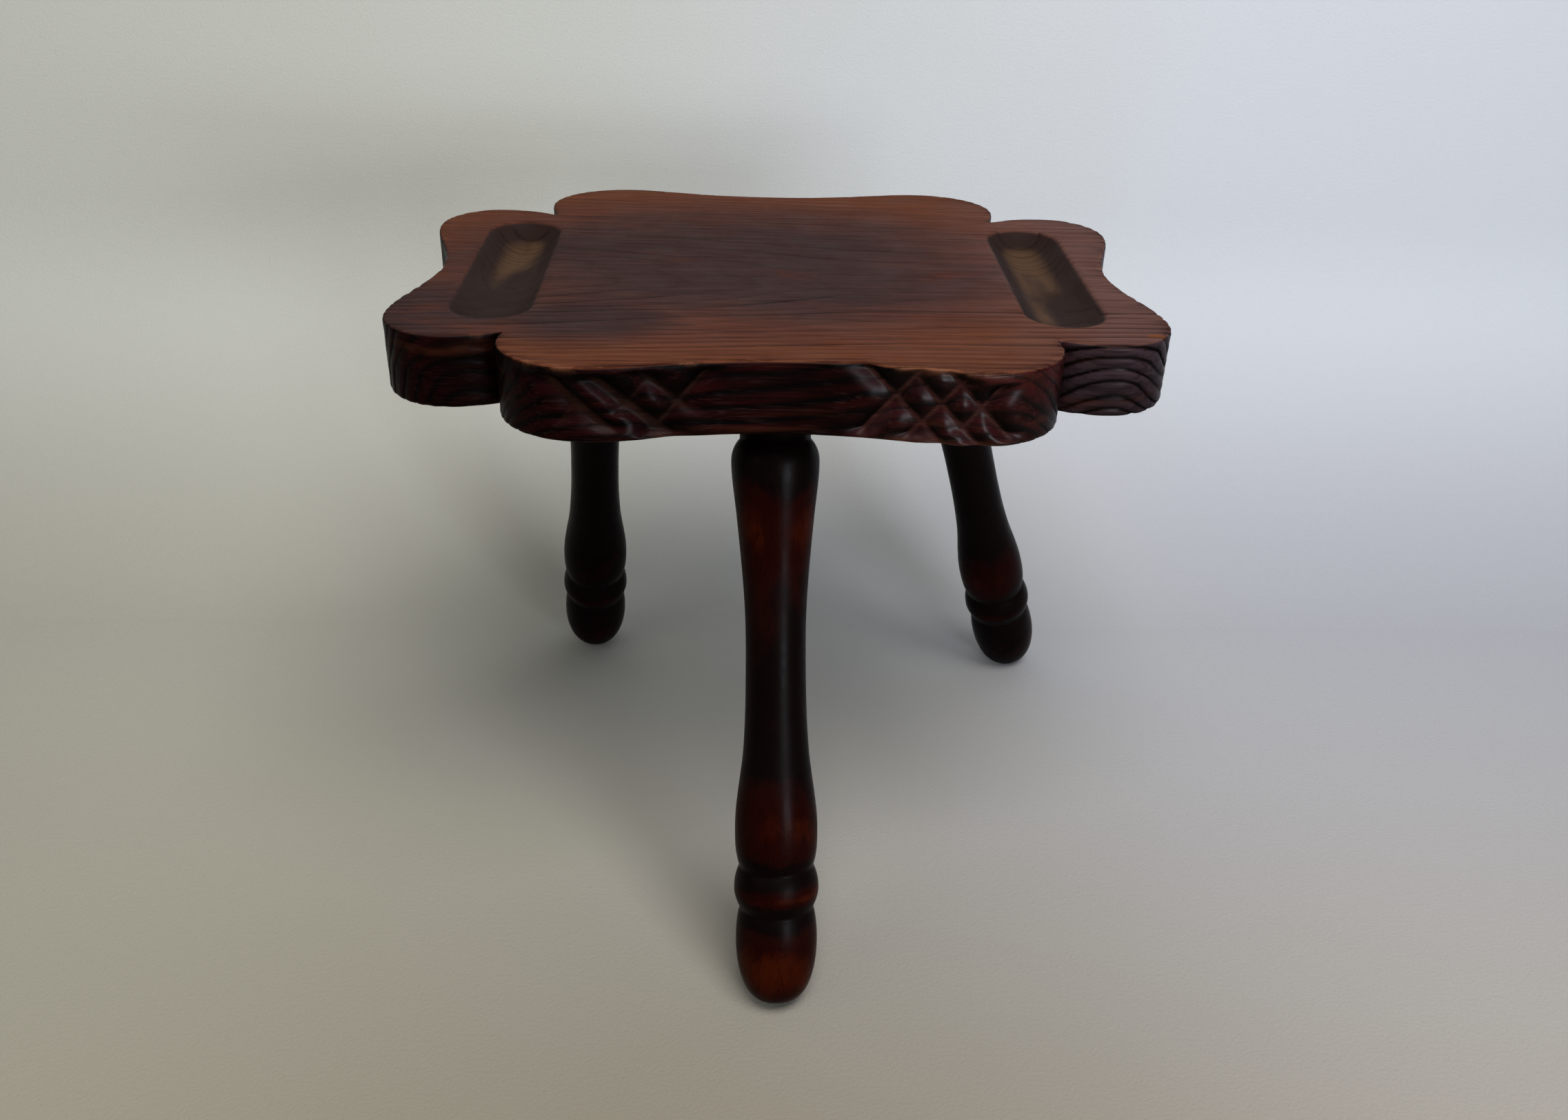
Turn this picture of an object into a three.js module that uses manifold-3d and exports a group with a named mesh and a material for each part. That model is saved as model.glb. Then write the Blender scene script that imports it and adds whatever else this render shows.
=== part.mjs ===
// A small three-legged stool: a scalloped plank seat on three splayed, turned legs.
// Millimetres, +Z up, +X along the grain of the seat, the carved long edge towards -Y.
import * as THREE from 'three';
import { mergeVertices } from 'three/addons/utils/BufferGeometryUtils.js';
import Module from 'manifold-3d';

// The plank, from the floor to its top face, and how far its edges are eased
const seatHeight = 347;
const seatThickness = 38;
const edgeEase = 1.6;

// The slab is the wide middle of the seat. Each long edge dips in the middle and swells near both corners.
// An ease is how far a curve keeps to the direction that it has at one end, as a share of its own run.
const slabLength = 277;
const slabSwellWidth = 309;
const slabDipWidth = 285;
const slabSwellSpacing = 184;
const slabCornerSpacing = 236;
const slabInnerLength = 256;
const slabShiftBack = 3;
const slabDipEase = 0.54;
const slabSwellEase = 0.26;
const slabShoulderEase = 0.68;
const slabCornerEase = 0.42;
const slabNotchEase = 0.24;
const slabInnerEase = 0.36;

// The wings are the two narrower ends. Each end face dips between two rounded corners. Where a wing leaves the slab,
// its edge slants outwards, and the neck's run and rise say how far it keeps to that slant.
const wingLength = 400;
const wingDipLength = 369;
const wingSwellWidth = 219;
const wingSwellSpacing = 332;
const wingCornerSpacing = 152;
const wingInnerWidth = 184;
const wingRootInset = 8;
const wingShiftForward = 3;
const wingNeckRun = 0.35;
const wingNeckRise = 0.57;
const wingSwellEase = 0.39;
const wingShoulderEase = 0.6;
const wingCornerEase = 0.5;
const wingHornEase = 0.32;
const wingDipEase = 0.4;

// Dished hollows, one in each wing, as a round-nosed cutter leaves them. Each is set in from its end of the plank.
const hollowEndInset = 51.75;
const hollowWidth = 43;
const hollowLength = 168;
const hollowDepth = 11;

// V-grooves on the front edge. Two cross at each place, given from the middle and down from the top.
const grooveWidth = 5.4;
const grooveDepth = 2.6;
const grooveSlant = 47;
const grooveCrossings = [
  { along: -98.5, down: 18 },
  { along: -72.5, down: 20 },
  { along: -50, down: 18 },
  { along: 53.5, down: 14 },
  { along: 75, down: 18 },
  { along: 95, down: 17.5 },
];

// How far in from the plank's ends and long edges each leg's axis meets the underside, as a maker marks it out
const frontLegOffCentre = 2;
const frontLegEdgeInset = 46.5;
const backLeftLegEndInset = 92;
const backLeftLegEdgeInset = 97.5;
const backRightLegEndInset = 100;
const backRightLegEdgeInset = 91.5;
const plankEnd = wingLength / 2;
const plankFrontEdge = slabShiftBack - slabDipWidth / 2;
const plankBackEdge = slabShiftBack + slabDipWidth / 2;

// Each leg's place, how far it splays from upright, and its bearing in degrees from +X
const legPlaces = [
  {
    name: 'front_leg',
    x: -frontLegOffCentre,
    y: plankFrontEdge + frontLegEdgeInset,
    splay: 20.8,
    bearing: 272.6,
  },
  {
    name: 'back_left_leg',
    x: -plankEnd + backLeftLegEndInset,
    y: plankBackEdge - backLeftLegEdgeInset,
    splay: 19.8,
    bearing: 101.7,
  },
  {
    name: 'back_right_leg',
    x: plankEnd - backRightLegEndInset,
    y: plankBackEdge - backRightLegEdgeInset,
    splay: 21,
    bearing: 41.8,
  },
];

// The joint: a round tenon, which runs on as the neck below the seat, glued in a blind socket
const tenonRadius = 18.4;
const tenonLength = 26;
const tenonChamfer = 2;
const jointGap = 0.3;
const socketTipGap = 2;

// The turning, all three legs alike. Radii first, then places measured down from the underside of the seat.
const shoulderRadius = 22.9;
const taperRadius = 20.4;
const waistRadius = 15.9;
const shinRadius = 17.6;
const bulgeRadius = 22.3;
const grooveRadius = 20;
const beadRadius = 23;
const footRadius = 22.2;
const toeRadius = 8.2;
const toeSideEase = 0.52;
const toeEndEase = 0.64;
const neckDown = 21;
const shoulderDown = 33;
const taperDown = 60;
const waistDown = 127;

// Places measured up from the toe
const shinUp = 141;
const bulgeUp = 96.8;
const upperGrooveUp = 76.2;
const beadUp = 63.2;
const lowerGrooveUp = 52.6;
const footUp = 33.8;

// How steeply the radius changes with distance down the leg where one curve of the turning meets the next
const neckFlare = 0.9;
const taperSlope = -0.1;
const shinSlope = 0.08;
const upperGrooveEntry = -0.35;
const upperGrooveExit = 0.5;
const lowerGrooveEntry = -0.45;
const lowerGrooveExit = 0.3;

// How far the floor has worn the lowest point of each rounded toe flat
const toeWear = 0.8;

// Facets on curves and round the legs
const outlineSteps = 9;
const easeSteps = 2;
const hollowSteps = 10;
const hollowSides = 44;
const grooveSteps = 12;
const profileSteps = 4;
const toeSteps = 6;
const legSides = 30;

// Corners closer than this are one corner
const weldDistance = 1e-4;

const wasm = await Module();
wasm.setup();

const radians = THREE.MathUtils.degToRad;
const underside = seatHeight - seatThickness;

// Booleans

function solidFrom(geometry) {
  const bare = geometry.clone();
  bare.deleteAttribute('normal');
  bare.deleteAttribute('uv');
  const merged = mergeVertices(bare, weldDistance);
  const corners = merged.index.array;
  const triangles = [];
  for (let i = 0; i < corners.length; i += 3) {
    const [a, b, c] = corners.slice(i, i + 3);
    if (a !== b && b !== c && c !== a) triangles.push(a, b, c);
  }
  return new wasm.Manifold(new wasm.Mesh({
    numProp: 3,
    vertProperties: new Float32Array(merged.attributes.position.array),
    triVerts: new Uint32Array(triangles),
  }));
}

function geometryFrom(solid) {
  const mesh = solid.getMesh();
  const geometry = new THREE.BufferGeometry();
  geometry.setAttribute('position', new THREE.BufferAttribute(mesh.vertProperties, 3));
  geometry.setIndex(new THREE.BufferAttribute(mesh.triVerts, 1));
  geometry.computeVertexNormals();
  return geometry;
}

// A closed skin over rings of points, all with the same number of points
function loft(rings) {
  const sides = rings[0].length;
  const triangles = [];
  for (let k = 0; k + 1 < rings.length; k += 1) {
    for (let i = 0; i < sides; i += 1) {
      const a = k * sides + i;
      const b = k * sides + ((i + 1) % sides);
      triangles.push(a, b, b + sides, a, b + sides, a + sides);
    }
  }
  const last = (rings.length - 1) * sides;
  for (let i = 1; i + 1 < sides; i += 1) {
    triangles.push(0, i + 1, i, last, last + i, last + i + 1);
  }
  const geometry = new THREE.BufferGeometry().setFromPoints(rings.flat());
  geometry.setIndex(triangles);
  return geometry;
}

// Seat outlines

const point = (x, y) => new THREE.Vector2(x, y);

// A quarter runs from the +Y axis to the +X axis, and its mirror images close the outline.
function outlineFromQuarter(curves, shiftY) {
  const quarter = curves.flatMap((curve, i) => curve.getPoints(outlineSteps).slice(i === 0 ? 0 : 1));
  const back = [...quarter].reverse();
  const loop = [
    ...quarter,
    ...back.map((p) => point(p.x, -p.y)).slice(1),
    ...quarter.map((p) => point(-p.x, -p.y)).slice(1),
    ...back.map((p) => point(-p.x, p.y)).slice(1, -1),
  ];
  return loop.map((p) => point(p.x, p.y + shiftY));
}

// A curve that leaves one point along an axis and reaches the other along an axis, keeping to each by its ease
function bend(from, to, leaveAxis, leaveEase, reachAxis, reachEase) {
  const leave = from.clone();
  const reach = to.clone();
  leave[leaveAxis] += (to[leaveAxis] - from[leaveAxis]) * leaveEase;
  reach[reachAxis] += (from[reachAxis] - to[reachAxis]) * reachEase;
  return new THREE.CubicBezierCurve(from, leave, reach, to);
}

function slabOutline() {
  const dip = point(0, slabDipWidth / 2);
  const swell = point(slabSwellSpacing / 2, slabSwellWidth / 2);
  const corner = point(slabLength / 2, slabCornerSpacing / 2);
  const inner = point(slabInnerLength / 2, corner.y / 2);
  return outlineFromQuarter([
    bend(dip, swell, 'x', slabDipEase, 'x', slabSwellEase),
    bend(swell, corner, 'x', slabShoulderEase, 'y', slabCornerEase),
    bend(corner, inner, 'y', slabNotchEase, 'y', slabInnerEase),
    new THREE.LineCurve(inner, point(inner.x, 0)),
  ], slabShiftBack);
}

function wingOutline() {
  const root = point(slabInnerLength / 2 - wingRootInset, wingInnerWidth / 2);
  const swell = point(wingSwellSpacing / 2, wingSwellWidth / 2);
  const corner = point(wingLength / 2, wingCornerSpacing / 2);
  const dip = point(wingDipLength / 2, 0);
  const neck = point(
    root.x + (swell.x - root.x) * wingNeckRun,
    root.y + (swell.y - root.y) * wingNeckRise,
  );
  const brow = point(swell.x - (swell.x - root.x) * wingSwellEase, swell.y);
  return outlineFromQuarter([
    new THREE.LineCurve(point(0, root.y), root),
    new THREE.CubicBezierCurve(root, neck, brow, swell),
    bend(swell, corner, 'x', wingShoulderEase, 'y', wingCornerEase),
    bend(corner, dip, 'y', wingHornEase, 'y', wingDipEase),
  ], -wingShiftForward);
}

function plank(outline) {
  const geometry = new THREE.ExtrudeGeometry(new THREE.Shape(outline), {
    depth: seatThickness - 2 * edgeEase,
    bevelThickness: edgeEase,
    bevelSize: edgeEase,
    bevelOffset: -edgeEase,
    bevelSegments: easeSteps,
  });
  return solidFrom(geometry.translate(0, 0, underside + edgeEase));
}

// Cutters for the seat

function hollowCutter(side) {
  const halfWidth = hollowWidth / 2;
  const noseRadius = (halfWidth ** 2 + hollowDepth ** 2) / (2 * hollowDepth);
  const run = hollowLength - hollowWidth;
  const nose = new THREE.CapsuleGeometry(noseRadius, run, hollowSteps, hollowSides);
  return solidFrom(nose.translate(
    side * (plankEnd - hollowEndInset),
    -wingShiftForward,
    seatHeight - hollowDepth + noseRadius,
  ));
}

// The slab's front face as a place and an outward direction at a distance along the edge
const frontEdge = slabOutline().filter((p) => p.y < -slabCornerSpacing / 2).sort((p, q) => p.x - q.x);

function frontFaceAt(along) {
  const next = Math.max(1, frontEdge.findIndex((p) => p.x > along));
  const a = frontEdge[next - 1];
  const b = frontEdge[next];
  const place = a.clone().lerp(b, (along - a.x) / (b.x - a.x));
  const run = b.clone().sub(a).normalize();
  return { place, run: new THREE.Vector3(run.x, run.y, 0), out: new THREE.Vector3(run.y, -run.x, 0) };
}

// A V-shaped cutter that climbs the front face through a crossing. lean is 1 for one stroke and -1 for the other.
function grooveCutter(crossing, lean) {
  const lip = grooveDepth;
  const halfMouth = (grooveWidth / 2) * ((grooveDepth + lip) / grooveDepth);
  const margin = grooveWidth;
  const slant = radians(grooveSlant);
  const rings = [];
  for (let k = 0; k <= grooveSteps; k += 1) {
    const down = -margin + ((seatThickness + 2 * margin) * k) / grooveSteps;
    const along = crossing.along + (lean * (down - crossing.down)) / Math.tan(slant);
    const face = frontFaceAt(along);
    const surface = new THREE.Vector3(face.place.x, face.place.y, seatHeight - down);
    const stroke = face.run.clone().multiplyScalar(lean * Math.cos(slant)).setZ(-Math.sin(slant));
    const across = face.out.clone().cross(stroke).normalize();
    const mouth = surface.clone().addScaledVector(face.out, lip);
    rings.push([
      surface.clone().addScaledVector(face.out, -grooveDepth),
      mouth.clone().addScaledVector(across, halfMouth),
      mouth.clone().addScaledVector(across, -halfMouth),
    ]);
  }
  return solidFrom(loft(rings));
}

// A leg's own frame has its origin where its axis meets the underside, with the leg running down -Z.
function placeLeg(object, place) {
  object.position.set(place.x, place.y, underside);
  object.rotation.set(0, -radians(place.splay), radians(place.bearing), 'ZYX');
  object.updateMatrixWorld();
}

function socketCutter(place) {
  const depth = tenonLength + socketTipGap;
  const reach = depth + neckDown;
  const bore = new THREE.CylinderGeometry(tenonRadius + jointGap, tenonRadius + jointGap, reach, legSides);
  bore.rotateX(Math.PI / 2).translate(0, 0, depth - reach / 2);
  const holder = new THREE.Object3D();
  placeLeg(holder, place);
  return solidFrom(bore.applyMatrix4(holder.matrixWorld));
}

function makeSeat() {
  let seat = plank(slabOutline()).add(plank(wingOutline()));
  for (const side of [-1, 1]) seat = seat.subtract(hollowCutter(side));
  for (const place of legPlaces) seat = seat.subtract(socketCutter(place));
  for (const crossing of grooveCrossings) {
    seat = seat.subtract(grooveCutter(crossing, 1)).subtract(grooveCutter(crossing, -1));
  }
  return geometryFrom(seat);
}

// Legs

// A turned stretch between two stations, each with its place, radius and growth of radius with distance
function turnedCurve(upper, lower) {
  const third = (lower.down - upper.down) / 3;
  return new THREE.CubicBezierCurve(
    point(upper.radius, -upper.down),
    point(upper.radius + upper.growth * third, -upper.down - third),
    point(lower.radius - lower.growth * third, -lower.down + third),
    point(lower.radius, -lower.down),
  );
}

// The rounded toe of a leg whose axis ends at a distance down it
function toeCurve(end) {
  return bend(point(footRadius, footUp - end), point(toeRadius, -end), 'y', toeSideEase, 'x', toeEndEase);
}

// The toe's end is as far down the leg as lets the worn floor plane touch its lowest point.
function toeEnd(place) {
  const lean = radians(place.splay);
  const reaches = toeCurve(0).getPoints(toeSteps * toeSteps).map((p) => p.x * Math.sin(lean) - p.y * Math.cos(lean));
  return (underside + toeWear - Math.max(...reaches)) / Math.cos(lean);
}

function legProfile(place) {
  const end = toeEnd(place);
  const stations = [
    { down: neckDown, radius: tenonRadius, growth: neckFlare },
    { down: shoulderDown, radius: shoulderRadius, growth: 0 },
    { down: taperDown, radius: taperRadius, growth: taperSlope },
    { down: waistDown, radius: waistRadius, growth: 0 },
    { down: end - shinUp, radius: shinRadius, growth: shinSlope },
    { down: end - bulgeUp, radius: bulgeRadius, growth: 0 },
    { down: end - upperGrooveUp, radius: grooveRadius, growth: upperGrooveEntry, growthBelow: upperGrooveExit },
    { down: end - beadUp, radius: beadRadius, growth: 0 },
    { down: end - lowerGrooveUp, radius: grooveRadius, growth: lowerGrooveEntry, growthBelow: lowerGrooveExit },
    { down: end - footUp, radius: footRadius, growth: 0 },
  ];
  const points = [
    point(0, tenonLength),
    point(tenonRadius - tenonChamfer, tenonLength),
    point(tenonRadius, tenonLength - tenonChamfer),
    point(tenonRadius, 0),
    point(tenonRadius, -neckDown),
  ];
  for (let i = 0; i + 1 < stations.length; i += 1) {
    const upper = { ...stations[i], growth: stations[i].growthBelow ?? stations[i].growth };
    points.push(...turnedCurve(upper, stations[i + 1]).getPoints(profileSteps).slice(1));
  }
  points.push(...toeCurve(end).getPoints(toeSteps).slice(1), point(0, -end));
  return points.reverse();
}

function makeLeg(place) {
  const turned = new THREE.LatheGeometry(legProfile(place), legSides).rotateX(Math.PI / 2);
  const holder = new THREE.Object3D();
  placeLeg(holder, place);
  const floor = new THREE.BoxGeometry(3 * underside, 3 * underside, underside);
  floor.translate(0, 0, -underside / 2).applyMatrix4(holder.matrixWorld.clone().invert());
  return geometryFrom(solidFrom(turned).subtract(solidFrom(floor)));
}

// Finishes and assembly

const scorchedPine = new THREE.MeshStandardMaterial({ color: 0x5e3022, roughness: 0.55, metalness: 0 });
const ebonisedBeech = new THREE.MeshStandardMaterial({ color: 0x2b1410, roughness: 0.4, metalness: 0 });

const stool = new THREE.Group();
stool.name = 'stool';

const seat = new THREE.Mesh(makeSeat(), scorchedPine);
seat.name = 'seat_plank';
stool.add(seat);

for (const place of legPlaces) {
  const leg = new THREE.Mesh(makeLeg(place), ebonisedBeech);
  leg.name = place.name;
  placeLeg(leg, place);
  stool.add(leg);
}

// The origin is on the floor, at the middle of the stool's own box.
const box = new THREE.Box3().setFromObject(stool, true);
stool.position.set(-(box.min.x + box.max.x) / 2, -(box.min.y + box.max.y) / 2, -box.min.z);
stool.updateMatrixWorld(true);

export default stool;
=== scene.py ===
# %% [markdown]
# # A rustic three-legged stool
#
# The stool is four pieces of wood: a thick softwood plank, scorched, brushed and waxed, and three turned
# hardwood legs under it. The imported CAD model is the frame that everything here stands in. Each CAD node is
# replaced by a finer mesh of the same shape and size, because a material this close needs real dishes,
# ridges and carving to light up. All sizes are written in millimetres and turned into Blender's metres where
# they are used.

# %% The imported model
import math
from types import SimpleNamespace

import bpy
import numpy as np
from mathutils import Matrix, Vector
from mathutils.geometry import delaunay_2d_cdt, interpolate_bezier


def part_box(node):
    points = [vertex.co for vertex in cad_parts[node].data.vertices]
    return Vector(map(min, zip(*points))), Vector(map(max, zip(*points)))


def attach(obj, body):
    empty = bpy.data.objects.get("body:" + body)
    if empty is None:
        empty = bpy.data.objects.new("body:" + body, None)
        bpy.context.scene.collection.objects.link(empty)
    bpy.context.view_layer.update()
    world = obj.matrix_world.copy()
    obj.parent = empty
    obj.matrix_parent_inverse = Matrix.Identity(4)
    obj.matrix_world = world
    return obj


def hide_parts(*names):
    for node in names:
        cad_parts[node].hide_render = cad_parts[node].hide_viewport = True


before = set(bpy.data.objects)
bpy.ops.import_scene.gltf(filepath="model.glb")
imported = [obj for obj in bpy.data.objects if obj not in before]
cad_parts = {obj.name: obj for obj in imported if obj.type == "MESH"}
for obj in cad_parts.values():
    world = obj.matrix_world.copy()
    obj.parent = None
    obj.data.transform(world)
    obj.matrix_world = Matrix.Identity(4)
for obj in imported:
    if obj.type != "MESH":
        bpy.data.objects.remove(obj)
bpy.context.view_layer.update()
MM = 0.001
LEG_NAMES = ("front_leg", "back_left_leg", "back_right_leg")
plank_low, plank_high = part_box("seat_plank")
print("packed nodes:", sorted(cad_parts))
print("plank from", tuple(round(v, 4) for v in plank_low), "to", tuple(round(v, 4) for v in plank_high))

# %% [markdown]
# ## Where things are measured from
#
# A maker marks a plank out from its middle. The slab, which is the wide part of the seat, sits 3 mm behind
# that middle and sets the plank's front and back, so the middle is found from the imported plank's own box.

# %% The middle of the plank
SLAB_SHIFT_BACK = 3
middle = Vector((
    (plank_low.x + plank_high.x) / 2,
    (plank_low.y + plank_high.y) / 2 - SLAB_SHIFT_BACK * MM,
    plank_high.z,
))
print("middle of the top face:", tuple(round(v, 4) for v in middle))

# %% [markdown]
# ## The camera
#
# The camera stands a little left of the stool and looks down on it by thirty degrees, as the photographer
# did. Its three angles turn the world into right, down and forward directions, and a Blender camera is the
# same three directions with down and forward reversed.

# %% The camera
PITCH, ROLL, YAW = (math.radians(angle) for angle in (29.987, 1.658, 2.180))
IMAGE_WIDTH = 2274
FOCAL_PIXELS = 2000
CAMERA_PLACE = Vector((-20.0, -747.74, 590.58))


def turn(axis, angle):
    return Matrix.Rotation(angle, 3, axis)


def add_object(name, data):
    made = bpy.data.objects.new(name, data)
    bpy.context.scene.collection.objects.link(made)
    return made


level = Matrix(((1, 0, 0), (0, 0, -1), (0, 1, 0)))
looks = turn("Z", ROLL) @ turn("X", PITCH) @ level @ turn("Z", YAW)
right, down, forward = (Vector(row) for row in looks)
axes = Matrix((right, -down, -forward)).transposed()
camera_data = bpy.data.cameras.new("camera")
camera_data.sensor_width = 36
camera_data.lens = camera_data.sensor_width * FOCAL_PIXELS / IMAGE_WIDTH
camera = add_object("camera", camera_data)
stands = Vector((middle.x, middle.y, 0)) + CAMERA_PLACE * MM
camera.matrix_world = Matrix.Translation(stands) @ axes.to_4x4()
bpy.context.scene.camera = camera
print("lens", round(camera_data.lens, 2), "mm, camera at", tuple(round(v, 3) for v in camera.location))

# %% [markdown]
# ## Small helpers for node trees
#
# Materials and Geometry Nodes are both trees of nodes. A node's output is wrapped so that it works in sums
# like a number, and each sum adds the nodes for it to the same tree. The mathematics and noise nodes are the
# same in both kinds of tree, which lets one function draw the growth rings for the colour and for the
# relief.


# %% Outputs that work like numbers
class Value:
    """An output of a node. A sum with it adds a node to its tree and is a Value again."""

    def __init__(self, socket):
        self.socket = socket

    def __add__(self, other):
        return maths("ADD", self, other)

    def __sub__(self, other):
        return maths("SUBTRACT", self, other)

    def __rsub__(self, other):
        return maths("SUBTRACT", other, self)

    def __mul__(self, other):
        return maths("MULTIPLY", self, other)

    def __truediv__(self, other):
        return maths("DIVIDE", self, other)

    def __rtruediv__(self, other):
        return maths("DIVIDE", other, self)

    def __abs__(self):
        return maths("ABSOLUTE", self)


def feed(node, inputs):
    for key, value in inputs.items():
        if isinstance(value, Value):
            node.id_data.links.new(value.socket, node.inputs[key])
        else:
            node.inputs[key].default_value = value


def add_node(tree, kind, inputs=None, output=0, **settings):
    """Add a node with its settings and inputs, and give back one of its outputs."""
    node = tree.nodes.new(kind)
    for name, setting in settings.items():
        setattr(node, name, setting)
    feed(node, inputs or {})
    return Value(node.outputs[output])


def tree_of(values):
    return next(value.socket.id_data for value in values if isinstance(value, Value))


def maths(operation, *values):
    return add_node(tree_of(values), "ShaderNodeMath", dict(enumerate(values)), operation=operation)


print("node outputs work in sums")


# %% Helpers for node trees
def vectors(operation, inputs, output=0):
    return add_node(tree_of(inputs.values()), "ShaderNodeVectorMath", inputs, output, operation=operation)


def scaled(vector, factors):
    return vectors("MULTIPLY", {0: vector, 1: factors})


def parts(vector):
    node = tree_of([vector]).nodes.new("ShaderNodeSeparateXYZ")
    feed(node, {0: vector})
    return [Value(socket) for socket in node.outputs]


def noise(vector, factors=None, scale=1.0, detail=2.0, roughness=0.5):
    """Noise at a place, which may be scaled along each axis first."""
    place = scaled(vector, factors) if factors else vector
    inputs = {"Vector": place, "Scale": scale, "Detail": detail, "Roughness": roughness}
    return add_node(tree_of([vector]), "ShaderNodeTexNoise", inputs)


def ramp(value, start, end, low=0.0, high=1.0):
    """Go smoothly from low to high while the value goes from start to end."""
    inputs = {0: value, 1: start, 2: end, 3: low, 4: high}
    return add_node(tree_of([value]), "ShaderNodeMapRange", inputs, interpolation_type="SMOOTHSTEP")


def layered(colour, layers):
    """Lay colours over a first one. A layer is its share, its colour and maybe its own way of mixing."""
    for share, added, *blend in layers:
        both = [value if isinstance(value, Value) else (*value, 1) for value in (colour, added)]
        colour = add_node(tree_of((share, *both)), "ShaderNodeMix", {0: share, 6: both[0], 7: both[1]}, 2,
                          data_type="RGBA", blend_type=blend[0] if blend else "MIX")
    return colour


def values_of(node):
    return {socket.name: Value(socket) for socket in node.outputs}


def new_tree(name, kind, inputs, outputs):
    """A node group, the values that it is given by name, and the node that takes its results."""
    tree = bpy.data.node_groups.new(name, kind)
    for socket, (form, *value) in inputs.items():
        made = tree.interface.new_socket(name=socket, in_out="INPUT", socket_type="NodeSocket" + form)
        if value:
            made.default_value = value[0]
    for socket, form in outputs.items():
        tree.interface.new_socket(name=socket, in_out="OUTPUT", socket_type="NodeSocket" + form)
    return tree, values_of(tree.nodes.new("NodeGroupInput")), tree.nodes.new("NodeGroupOutput")


def place_group(group, **inputs):
    node = tree_of(inputs.values()).nodes.new("ShaderNodeGroup")
    node.node_tree = group
    feed(node, {name.replace("_", " "): value for name, value in inputs.items()})
    return values_of(node)


print("node helpers ready")

# %% [markdown]
# ## The plank's outline
#
# The seat was sawn to a scalloped outline that is easiest to see as two shapes laid over each other: a wide
# slab whose long edges dip in the middle, and two narrower wings whose end faces dip. Each is drawn as one
# quarter of smooth curves and mirrored. Seen from the middle, every direction meets the outline once, so the
# seat's edge is simply the farther of the two shapes in each direction, and the inner corners appear where
# they cross.

# %% The outline
CURVE_STEPS = 60
OUTLINE_STEPS = 40000


def bend(start, end, leave, reach):
    """A curve that keeps to one axis at each end for a share of the way. Both are (axis, share)."""
    first, last = start.copy(), end.copy()
    first[leave[0]] += (end[leave[0]] - start[leave[0]]) * leave[1]
    last[reach[0]] += (start[reach[0]] - end[reach[0]]) * reach[1]
    return [start, first, last, end]


def mirrored(curves, shift):
    """The whole outline of a shape, as directions and distances from the middle, from one quarter of it."""
    quarter = np.array([point for curve in curves for point in interpolate_bezier(*curve, CURVE_STEPS)])
    angles = np.arctan2(quarter[:, 1], quarter[:, 0])
    reach = np.hypot(quarter[:, 0], quarter[:, 1])
    order = np.argsort(angles)
    angles, reach = angles[order], reach[order]
    around = np.concatenate([angles, math.pi - angles[::-1], math.pi + angles, 2 * math.pi - angles[::-1]])
    far = np.concatenate([reach, reach[::-1], reach, reach[::-1]])
    x, y = far * np.cos(around), far * np.sin(around) + shift
    return np.unwrap(np.arctan2(y, x)), np.hypot(x, y)


def reach_of(shape, angles):
    directions, far = shape
    return np.interp(angles, directions, far, period=2 * math.pi)


dip, swell = Vector((0, 142.5)), Vector((92, 154.5))
corner, inner, slab_side = Vector((138.5, 118)), Vector((128, 59)), Vector((128, 0))
slab = mirrored([
    bend(dip, swell, (0, 0.54), (0, 0.26)),
    bend(swell, corner, (0, 0.68), (1, 0.42)),
    bend(corner, inner, (1, 0.24), (1, 0.36)),
    [inner, inner.lerp(slab_side, 0.3), inner.lerp(slab_side, 0.7), slab_side],
], SLAB_SHIFT_BACK)

WING_SHIFT = -3
root, brow = Vector((120, 92)), Vector((166, 109.5))
horn, wing_dip = Vector((200, 76)), Vector((184.5, 0))
wings = mirrored([
    [Vector((0, 92)), Vector((40, 92)), Vector((80, 92)), root],
    [root, Vector((136.1, 102)), Vector((148.1, 109.5)), brow],
    bend(brow, horn, (0, 0.6), (1, 0.5)),
    bend(horn, wing_dip, (1, 0.32), (1, 0.4)),
], WING_SHIFT)

fine_angles = np.linspace(0, 2 * math.pi, OUTLINE_STEPS + 1)[:-1]
slab_reach, wing_reach = reach_of(slab, fine_angles), reach_of(wings, fine_angles)
fine_reach = np.maximum(slab_reach, wing_reach)
fine_edge = np.column_stack([fine_reach * np.cos(fine_angles), fine_reach * np.sin(fine_angles)])
slab_leads = slab_reach > wing_reach
notches = np.flatnonzero(slab_leads != np.roll(slab_leads, 1))
print("outline", np.ptp(fine_edge, axis=0).round(1), "mm, inner corners at",
      [tuple(fine_edge[i].round(1)) for i in notches])

# %% [markdown]
# ## Chip carving on the front edge
#
# The carver cut straight strokes across the front edge in two groups. The strokes cross, and the wood that
# is left between them has been rubbed into small pillows. The strokes are listed as a carver would lay them
# out: how far along the edge a stroke crosses mid-height, which way and how steeply it leans, where it
# starts and stops, how wide its flat bottom is on each side of its line, and how strongly it was cut. Every
# stroke leaves a valley with soft bottom corners, and the valleys multiplied together leave the pillows.

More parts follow.
